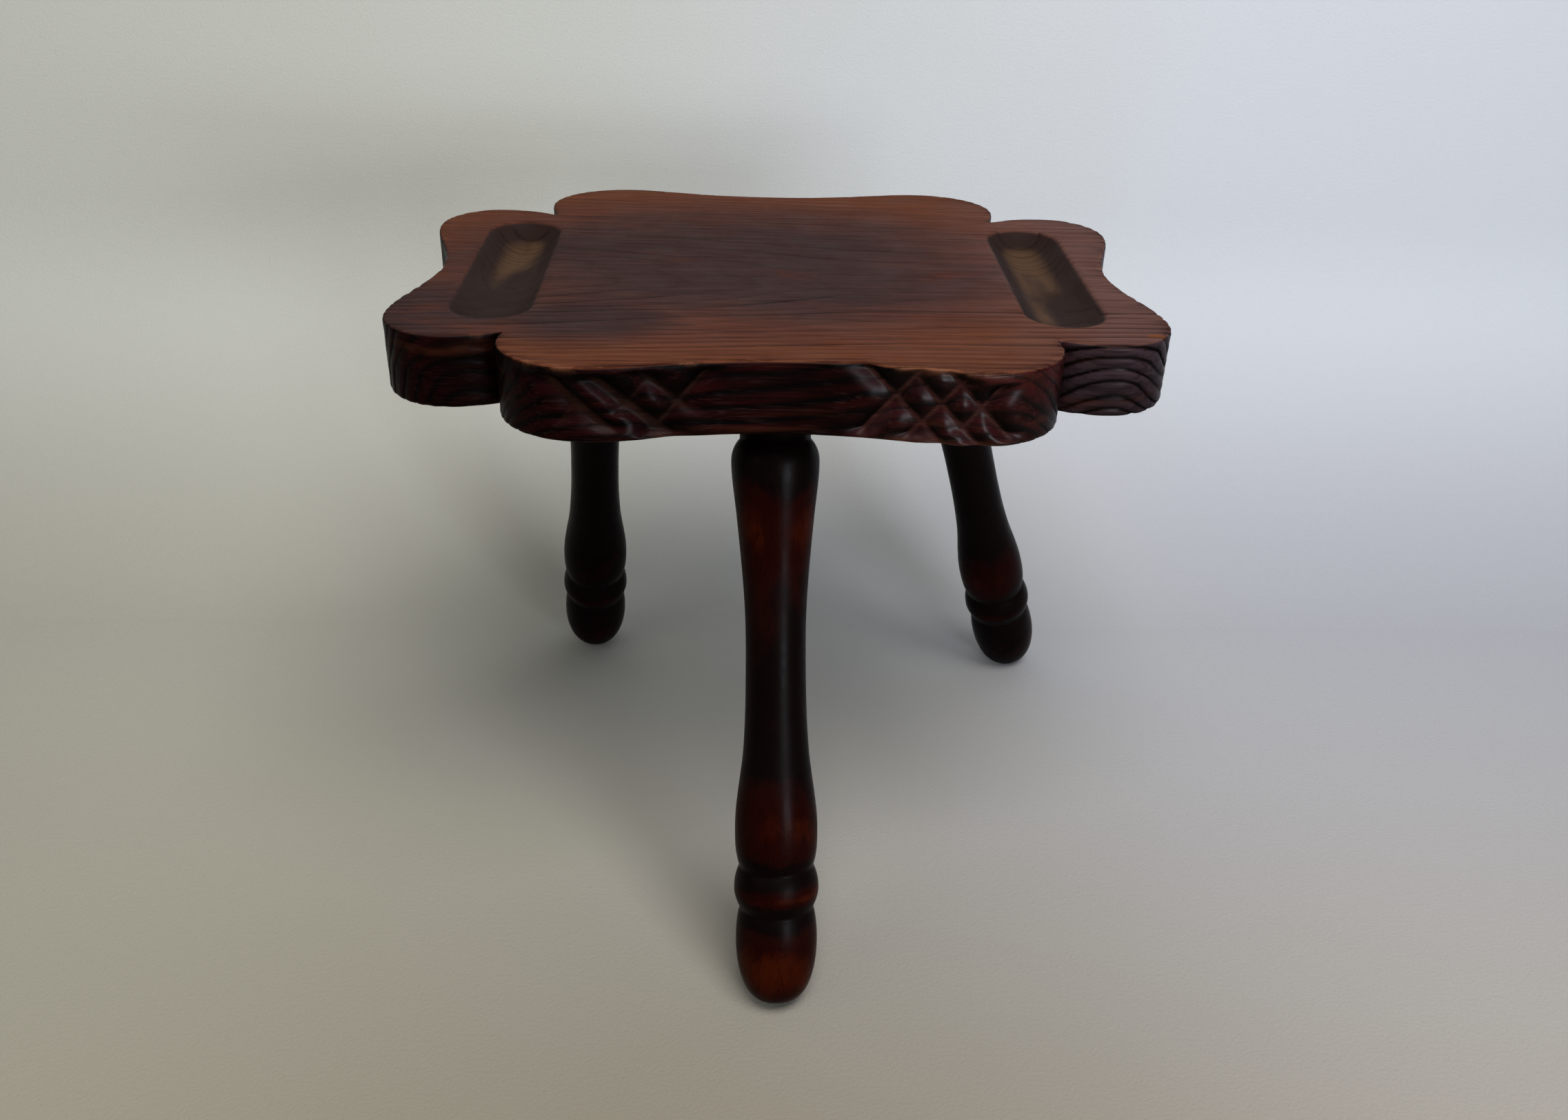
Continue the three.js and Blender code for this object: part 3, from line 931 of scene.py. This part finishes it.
def hollow_colour(at):
    """Dark, and rubbed to gold in patches along the bottom, most at the back and on the right."""
    gold = noise(at.place, (30, 12, 12), detail=3) + ramp(at.y, -0.06, 0.03, -0.12, 0.09)
    gold = ramp(gold + ramp(at.x, -0.1, 0.1, -0.10, 0.05), 0.4, 0.62)
    return layered(HOLLOW_DARK, [(gold * ramp(at.hollow, 0.65, 1.0), HOLLOW_GOLD)])


def bitten_rim(at):
    """Dark nicks along the rim, most along the front and on the right."""
    bites = at.streak * 0.8 + noise(at.place, (40, 90, 90), detail=3, roughness=0.7)
    reach = maths("MAXIMUM", ramp(at.y, -0.125, -0.09, 1.0, 0.25), ramp(at.x, 0.1, 0.12, 0.0, 0.9))
    return ramp(bites, 0.78, 1.0) * at.rim * reach


print("the top's colours ready")


# %% The edge faces
def edge_faces(at):
    band = at.rings["Band"]
    reddish = ramp(noise(at.place, (14, 22, 40), detail=4), 0.3, 0.62)
    reddish = reddish * ramp(at.x, -0.12, 0.02, 0.45, 1.0)
    # Painted sheen: grey on the light ring bands of the right wing's face
    painted_wing_sheen = ramp(at.x, *SLAB_TO_WING) * ramp(band, 0.1, 0.75) * ramp(at.cloud, 0.3, 0.6, 0.5, 0.95)
    # Painted light along the upper part of the wall at the right end of the carving
    painted_glow = ramp(at.x, 0.078, 0.105) * ramp(at.z, -0.024, -0.004) * ramp(at.x, 0.132, 0.138, 1.0, 0.0)
    amber = ramp(noise(at.place, (9, 30, 120), detail=4), 0.56, 0.72)
    # Painted light where the carving faces up, stronger on the right
    painted_light_facing_up = ramp(at.under, -0.5, -0.05, 0.45, 0.0) * ramp(at.x, -0.1, 0.05, 0.4, 1.0)
    stroke = layered(DIM_STROKE, [(ramp(at.x, -0.04, 0.04), RUBBED_STROKE_AND_HIGHLIGHT)])
    return layered(WALL_BLACK, [
        (reddish * ramp(band, 0.2, 0.95), WALL_RED),
        (painted_wing_sheen, WALL_PAINTED_SHEEN),
        (painted_glow * 0.8, WALL_PAINTED_GLOW),
        (amber * 0.6, WALL_AMBER),
        (ramp(at.streak, 0.42, 0.62) * 0.7, FIBRES, "MULTIPLY"),
        (at.pores * reddish * 0.45, FLECK),
        (painted_light_facing_up, WALL_LIT),
        # Painted shade where the carving faces down
        (ramp(at.under, 0.05, 0.45, 0.0, 0.9), PAINTED_SHADE_UNDER_PILLOWS),
        # Stroke bottoms: rubbed lighter, and painted as a highlight
        (at.groove * ramp(at.streak, 0.35, 0.6, 0.9, 0.55), stroke),
    ])


def ring_darkening(at):
    """How clearly late wood shows: fully on the edge faces, less over the pith, as arcs in a hollow."""
    off_middle = ramp(abs(at.y - PITH_BACK), 0.012, 0.042, 0.3, 1.0) * ramp(at.y, -0.06, 0.02, 1.0, 0.6)
    clear = maths("MAXIMUM", off_middle, at.wall) * ramp(at.hollow, 0.0, 0.3, 1.0, 0.3)
    clear = clear * (ramp(at.x, 0.12, 0.17, 1.0, 1.4) * ramp(at.x, -0.16, -0.12, 0.6, 1.0))
    arcs = ramp(at.hollow, 0.1, 0.5) * ramp(at.y, -0.01, 0.06, 0.1, 0.4)
    return maths("MAXIMUM", at.rings["Line"] * clear, ramp(at.rings["Band"], 0.0, 0.5, 1.0, 0.0) * arcs)


def varnish_left(at):
    """Gloss on the edge faces: more on the right, less on the wing, in the strokes and under the pillows."""
    left = ramp(at.x, 0.0, 0.08, 0.02, 0.14) + ramp(at.x, *SLAB_TO_WING, 0.0, -0.09)
    return at.wall * (left * (1.0 - at.groove * 0.9) * ramp(at.under, 0.1, 0.45, 1.0, 0.5))


print("the edge faces' colours ready")

# %% The scorched softwood
RUBBED_MIDDLE = 85 * MM


def build_softwood():
    material, tree, shader = new_material("Scorched softwood", TOP_BROWN)
    at = softwood_view(tree)
    top = layered(scorched_top(at), [
        (ramp(at.hollow, 0.0, 0.16), hollow_colour(at)),
        (bitten_rim(at) * 0.9, SINGED, "MULTIPLY"),
    ])
    rubbing = ramp(abs(at.x - RUBBED_MIDDLE), 0.02, 0.06, 0.56, 0.36)
    rubbed = place_group(rub_group, Place=at.place, Edge=at.edge, Patch_Size=45.0, Amount=rubbing)
    chip = ramp(from_spot(at, CHIP), 0.5, 1.0, 1.0, 0.0) * ramp(at.z, -0.003, -0.001)
    waxed = place_group(wax_group, Place=at.place, Polished=0.30, Dull=0.46)
    feed(shader, {
        "Base Color": layered(top, [
            (at.wall, edge_faces(at)),
            (rubbed["Worn"] * 0.75, WORN_WOOD),
            (chip, CHIP_ORANGE),
            (ring_darkening(at), LATE_WOOD_DARK, "MULTIPLY"),
        ]),
        "Roughness": waxed["Roughness"] + ramp(1.0 - at.wall, 0.0, 1.0, 0.0, 0.2),
        "Normal": bumped(at.rings["Height"] * 0.16 + at.streak * (at.carved * -0.015 + 0.06), 1 * MM),
        "Coat Weight": varnish_left(at),
        "Coat Roughness": 0.31,
        "Specular IOR Level": 0.03,
    })
    return material


softwood = build_softwood()
print(softwood.name, "with", len(softwood.node_tree.nodes), "nodes")

# %% [markdown]
# ## Brushing the plank
#
# The relief tree is run on the plank as a modifier and its result is kept as a plain mesh, which stands for
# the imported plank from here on.


# %% Brushing the plank
def made_real(source, tree, name, values):
    """Run a geometry tree on an object and keep the result as a plain object in its place."""
    modifier = source.modifiers.new("shaping", "NODES")
    modifier.node_group = tree
    sockets = {item.name: item.identifier for item in tree.interface.items_tree
               if item.item_type == "SOCKET" and item.in_out == "INPUT"}
    for socket, value in values.items():
        modifier[sockets[socket]] = value
    graph = bpy.context.evaluated_depsgraph_get()
    mesh = bpy.data.meshes.new_from_object(source.evaluated_get(graph))
    source.modifiers.clear()
    made = add_object(name, mesh)
    bpy.data.objects.remove(source)
    mesh.shade_smooth()
    print(name, "has", sum(len(p.vertices) - 2 for p in mesh.polygons), "triangles")
    return made


seat = made_real(plank, relief, "brushed_seat", {
    "Middle": tuple(middle),
    "Wall Depth": 0.6 * MM,
    "Top Depth": 0.28 * MM,
    "Full Depth Spacing": 6.0 * MM,
    "Finish": softwood,
})

# %% [markdown]
# ## Turned legs
#
# A lathe leaves a shape that is the same all round its axis, so a leg is one list of radii along a line. The
# list comes from stations that a turner would mark on a pattern stick: a place, a radius and how steeply the
# surface runs there. A Geometry Nodes tree sweeps a circle along the line, adds the slight unevenness of
# hand work, and wears the lowest part of the toe flat against the floor.

# %% The pattern stick
# Places down from the underside, or up from the toe, each with its radius
NECK, SHOULDER, TAPER, WAIST = (21, 18.4), (33, 22.9), (60, 20.4), (127, 15.9)
SHIN, BULGE, UPPER_GROOVE, BEAD = (141, 17.6), (96.8, 22.3), (76.2, 20.0), (63.2, 23.0)
LOWER_GROOVE, FOOT, TOE_RADIUS = (52.6, 20.0), (33.8, 22.2), 8.2
TENON_CHAMFER = 2
TOE_WEAR = 0.8
PROFILE_STEPS = 14


def toe_curve(end):
    start, stop = Vector((FOOT[1], end - FOOT[0])), Vector((TOE_RADIUS, end))
    return np.array(interpolate_bezier(*bend(start, stop, (1, 0.52), (0, 0.64)), 3 * PROFILE_STEPS))


def toe_end(lean, above_floor):
    curve = toe_curve(0.0)
    lowest = (curve[:, 0] * math.sin(lean) + curve[:, 1] * math.cos(lean)).max()
    return (above_floor + TOE_WEAR - lowest) / math.cos(lean)


def turned_stretch(upper, lower):
    """Radii between two stations, each with its place, radius, and slope on its upper and lower side."""
    third = (lower[0] - upper[0]) / 3
    return np.array(interpolate_bezier(
        Vector((upper[1], upper[0])), Vector((upper[1] + upper[3] * third, upper[0] + third)),
        Vector((lower[1] - lower[2] * third, lower[0] - third)), Vector((lower[1], lower[0])), PROFILE_STEPS))


def leg_profile(end):
    """Radii and places down the axis, from the tenon's end to the toe."""
    stations = [(*NECK, 0.9, 0.9), (*SHOULDER, 0, 0), (*TAPER, -0.1, -0.1), (*WAIST, 0, 0)]
    for (up, radius), above, below in ((SHIN, 0.08, 0.08), (BULGE, 0, 0), (UPPER_GROOVE, -0.35, 0.5),
                                       (BEAD, 0, 0), (LOWER_GROOVE, -0.45, 0.3), (FOOT, 0, 0)):
        stations.append((end - up, radius, above, below))
    tenon = [(TENON_RADIUS - TENON_CHAMFER, -TENON_LENGTH), (TENON_RADIUS, TENON_CHAMFER - TENON_LENGTH)]
    rows = [np.array(tenon + [(TENON_RADIUS, NECK[0] * share) for share in (0, 0.25, 0.5, 0.75, 1)])]
    for upper, lower in zip(stations, stations[1:]):
        rows.append(turned_stretch(upper, lower)[1:])
    rows.append(toe_curve(end)[1:])
    return np.vstack(rows)


print("pattern stick has", len(leg_profile(330)), "radii")


# %% Turning with Geometry Nodes
def build_lathe():
    tree, given, result = new_tree("Lathe", "GeometryNodeTree", {
        "Geometry": ["Geometry"],
        "Sides": ["Int", 72],
        "Unevenness": ["Float", 0.25 * MM],
        "Floor": ["Float", 0.0],
        "Finish": ["Material"],
    }, {"Geometry": "Geometry"})
    circle = {"Resolution": given["Sides"], "Radius": 1.0}
    swept = add_node(tree, "GeometryNodeCurveToMesh", {
        "Curve": add_node(tree, "GeometryNodeMeshToCurve", {"Mesh": given["Geometry"]}),
        "Profile Curve": add_node(tree, "GeometryNodeCurvePrimitiveCircle", circle, "Curve"),
        "Scale": named_value(tree, "turned_radius"),
        "Fill Caps": True,
    })
    here = add_node(tree, "GeometryNodeInputPosition")
    lumps = noise(here, (35, 35, 22), detail=2) - 0.5
    uneven = moved_by(tree, swept, lumps * given["Unevenness"])
    x, y, z = parts(add_node(tree, "GeometryNodeInputPosition"))
    above_floor = add_node(tree, "ShaderNodeCombineXYZ", {0: x, 1: y, 2: maths("MAXIMUM", z, given["Floor"])})
    worn = add_node(tree, "GeometryNodeSetPosition", {"Geometry": uneven, "Position": above_floor})
    end_geometry(tree, worn, given["Finish"], result)
    return tree


lathe = build_lathe()
print("lathe tree with", len(lathe.nodes), "nodes")

# %% [markdown]
# ## The legs' finish
#
# The legs are a close-grained hardwood under a stain that is nearly black. It has worn down on everything
# that stands proud, such as the bulge, the bead and the foot, and where hands hold the upper shaft, so that
# the wood glows red-brown there. It stayed thickest in the grooves and on the shin. The neck below the seat
# and the back legs are painted darker, as painted shade.

# %% The stained hardwood
STAIN_BLACK = (0.0020, 0.0004, 0.0003)
STAIN_RED = (0.0090, 0.0008, 0.0003)
STAIN_AMBER = (0.030, 0.0038, 0.0006)
STAINED_PORES = (0.3, 0.3, 0.3)


def build_hardwood():
    material, tree, shader = new_material("Stained hardwood", STAIN_BLACK)
    place = object_place(tree)
    grain = place_group(grain_group, Place=place, Stretch=(700, 700, 30))
    proud, thick_stain_and_neck_shade = attribute(tree, "proud"), attribute(tree, "thick_stain_and_neck_shade")
    patches = noise(place, (26, 26, 9), detail=4, roughness=0.55)
    # Lower towards the back: painted shade that keeps the back legs darker
    thin_stain_and_back_leg_shade = (proud * 0.22 + patches) - thick_stain_and_neck_shade * 0.5 - ramp(parts(place)[1], -0.05, 0.05, 0.0, 0.22)
    rubbed = place_group(rub_group, Place=place, Edge=proud, Patch_Size=90.0, Amount=0.35)
    waxed = place_group(wax_group, Place=place, Polished=0.24, Dull=0.40)
    feed(shader, {
        "Base Color": layered(STAIN_BLACK, [
            (ramp(thin_stain_and_back_leg_shade, 0.40, 0.60), STAIN_RED),
            (ramp(thin_stain_and_back_leg_shade, 0.64, 0.84), STAIN_AMBER),
            (grain["Pores"] * 0.6, STAINED_PORES, "MULTIPLY"),
            (rubbed["Worn"] * 0.4, STAIN_AMBER),
        ]),
        "Roughness": waxed["Roughness"],
        "Normal": bumped(grain["Streak"] * 0.05 + waxed["Smear"] * 0.25, 1 * MM),
        "Coat Weight": ramp(proud, 0.0, 0.8, 0.05, 0.012),
        "Coat Roughness": 0.55,
        "Specular IOR Level": 0.02,
    })
    return material


hardwood = build_hardwood()
print(hardwood.name, "with", len(hardwood.node_tree.nodes), "nodes")

# %% [markdown]
# ## Turning the three legs
#
# Each leg starts as its axis, a line of points that carry their radius and two marks for the stain: how far a
# place stands proud, and how thickly the stain stayed there, with painted shade added at the neck.

# %% Turning the three legs
# Where hands hold the upper shaft, and where painted shade darkens the neck below the seat
HELD_PLACE, NECK_SHADE_PLACE = 66, 20


def bells(places, spots):
    """A sum of smooth bumps, each given by its place and its width."""
    return sum(np.exp(-(((places - centre) / width) ** 2)) for centre, width in spots)


def turn_leg(name):
    start, direction, lean, _ = leg_axis(name)
    end = toe_end(lean, middle.z / MM - THICKNESS)
    radii, places = leg_profile(end).T
    line = start + places[:, None] * direction
    mesh = bpy.data.meshes.new(name + "_axis")
    mesh.from_pydata((line * MM + np.array(middle)).tolist(), [(i, i + 1) for i in range(len(line) - 1)], [])
    mark(mesh, "turned_radius", radii * MM)
    mark(mesh, "proud", bells(places, [
        (HELD_PLACE, 22), (end - BULGE[0] - 2, 20), (end - BEAD[0], 4), (end - FOOT[0] + 12, 18)]))
    # The first bump, at the neck below the seat, is painted shade; the rest is stain left on the shin and in
    # the grooves
    mark(mesh, "thick_stain_and_neck_shade", bells(places, [
        (NECK_SHADE_PLACE, 20), (end - SHIN[0], 8), (end - UPPER_GROOVE[0], 5), (end - LOWER_GROOVE[0], 5)]))
    settings = {"Sides": 72, "Unevenness": 0.25 * MM, "Floor": 0.0, "Finish": hardwood}
    return made_real(add_object(name + "_blank", mesh), lathe, "turned_" + name, settings)


legs = {name: turn_leg(name) for name in LEG_NAMES}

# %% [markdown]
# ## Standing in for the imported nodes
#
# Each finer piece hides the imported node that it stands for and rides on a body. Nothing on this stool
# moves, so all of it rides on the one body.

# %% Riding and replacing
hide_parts("seat_plank")
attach(seat, "root")
for name, leg in legs.items():
    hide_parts(name)
    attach(leg, "root")
print("replaced:", ["seat_plank", *LEG_NAMES])

# %% [markdown]
# ## Floor and backdrop
#
# The stool stands on a pale sheet that runs up behind it. The floor is a plain plane, and the backdrop is a
# second sheet that leaves the floor in a soft curve just behind the back feet. Their colour paints the room's
# light: warmer and darker on the left, cooler and brighter on the right, darker near the front and lightest
# up the backdrop, with a painted shadow down the middle of the near floor, under and in front of the stool.

# %% The floor and the backdrop
# Painted light: darker near the front, lighter far back and up the backdrop, brighter and cooler on the right
NEAR_LEFT, NEAR_RIGHT = (0.300, 0.277, 0.213), (0.325, 0.292, 0.245)
FAR_LEFT, FAR_RIGHT = (0.385, 0.375, 0.325), (0.40, 0.405, 0.44)
HIGH_LEFT, HIGH_RIGHT = (0.54, 0.545, 0.505), (0.59, 0.615, 0.66)
# Painted shadow down the middle of the near floor
PAINTED_SHADOW_NEAR_MIDDLE = (0.55, 0.50, 0.42)
FLOOR_REACH, BEND_START, BEND_RADIUS, WALL_TOP = 6.0, 0.20, 0.26, 3.0
SHEET_GAP = 0.0002


def build_sheet_material():
    material, tree, shader = new_material("Pale sheet", FAR_RIGHT)
    here = add_node(tree, "ShaderNodeTexCoord", output="Object")
    x, y, z = parts(here)
    to_right = ramp(x + (noise(here, scale=5, detail=3) - 0.5) * 0.4, -0.35, 0.45)
    near, far, high = (layered(left, [(to_right, other)]) for left, other in (
        (NEAR_LEFT, NEAR_RIGHT), (FAR_LEFT, FAR_RIGHT), (HIGH_LEFT, HIGH_RIGHT)))
    # Painted shadow, strongest in the middle
    near = layered(near, [(ramp(abs(x), 0.05, 0.45, 0.6, 0.0), PAINTED_SHADOW_NEAR_MIDDLE, "MULTIPLY")])
    feed(shader, {
        "Base Color": layered(near, [(ramp(y, -0.45, 0.28), far), (ramp(z, -0.02, 0.2), high)]),
        "Roughness": 0.95,
        "Specular IOR Level": 0.1,
        "Normal": bumped(noise(here, scale=500, detail=2), 0.3 * MM),
    })
    see_through = add_node(tree, "ShaderNodeMixShader", {
        0: add_node(tree, "ShaderNodeNewGeometry", output="Backfacing"),
        1: Value(shader.outputs[0]),
        2: add_node(tree, "ShaderNodeBsdfTransparent"),
    })
    feed(tree.nodes["Material Output"], {"Surface": see_through})
    return material


def stage_sheet(name, rows):
    """A sheet swept across the scene from a list of (y, z) rows, with its front towards the camera."""
    mesh = bpy.data.meshes.new(name)
    points = [(side * FLOOR_REACH, y, z) for y, z in rows for side in (-1, 1)]
    mesh.from_pydata(points, [], [(2 * k, 2 * k + 1, 2 * k + 3, 2 * k + 2) for k in range(len(rows) - 1)])
    mesh.shade_smooth()
    mesh.materials.append(sheet_material)
    add_object(name, mesh)


sheet_material = build_sheet_material()
stage_sheet("floor", [(-FLOOR_REACH, 0.0), (FLOOR_REACH, 0.0)])
bend_rows = [(BEND_START + BEND_RADIUS * math.sin(a), BEND_RADIUS * (1 - math.cos(a)) + SHEET_GAP)
             for a in np.linspace(0, math.pi / 2, 25)]
stage_sheet("backdrop", bend_rows + [(BEND_START + BEND_RADIUS, WALL_TOP)])
print("backdrop rises from", BEND_START, "m behind the middle")

# %% [markdown]
# ## Light
#
# A cool window low on the right puts the small highlights on the carving, a large lamp overhead lights the
# top, and a little warm fill on the left and a pale room do the rest.

# %% The light
LAMPS = (
    # name, place, aim, width and height in metres, power in watts, colour
    ("window", (0.95, -1.75, 0.50), (0, 0, 0.3), 0.6, 0.5, 19, (0.86, 0.92, 1.0)),
    ("fill", (-1.5, -0.9, 1.1), (0, 0, 0.2), 1.2, 1.2, 4, (1.0, 0.93, 0.82)),
    ("overhead", (0.25, -0.7, 1.7), (0, 0.1, 0), 1.1, 0.8, 27, (1.0, 0.98, 0.95)),
)
for name, place, aim, width, height, power, colour in LAMPS:
    data = bpy.data.lights.new(name, "AREA")
    data.shape = "RECTANGLE"
    data.size, data.size_y = width, height
    data.energy = power
    data.color = colour
    lamp = add_object(name, data)
    lamp.location = place
    lamp.rotation_euler = (Vector(aim) - Vector(place)).to_track_quat("-Z", "Y").to_euler()
world = bpy.data.worlds.new("room")
world.use_nodes = True
feed(world.node_tree.nodes["Background"], {"Color": (0.80, 0.84, 0.90, 1), "Strength": 0.22})
bpy.context.scene.world = world
bpy.context.scene.view_settings.view_transform = "Standard"
print("lamps:", [lamp.name for lamp in bpy.data.lights])
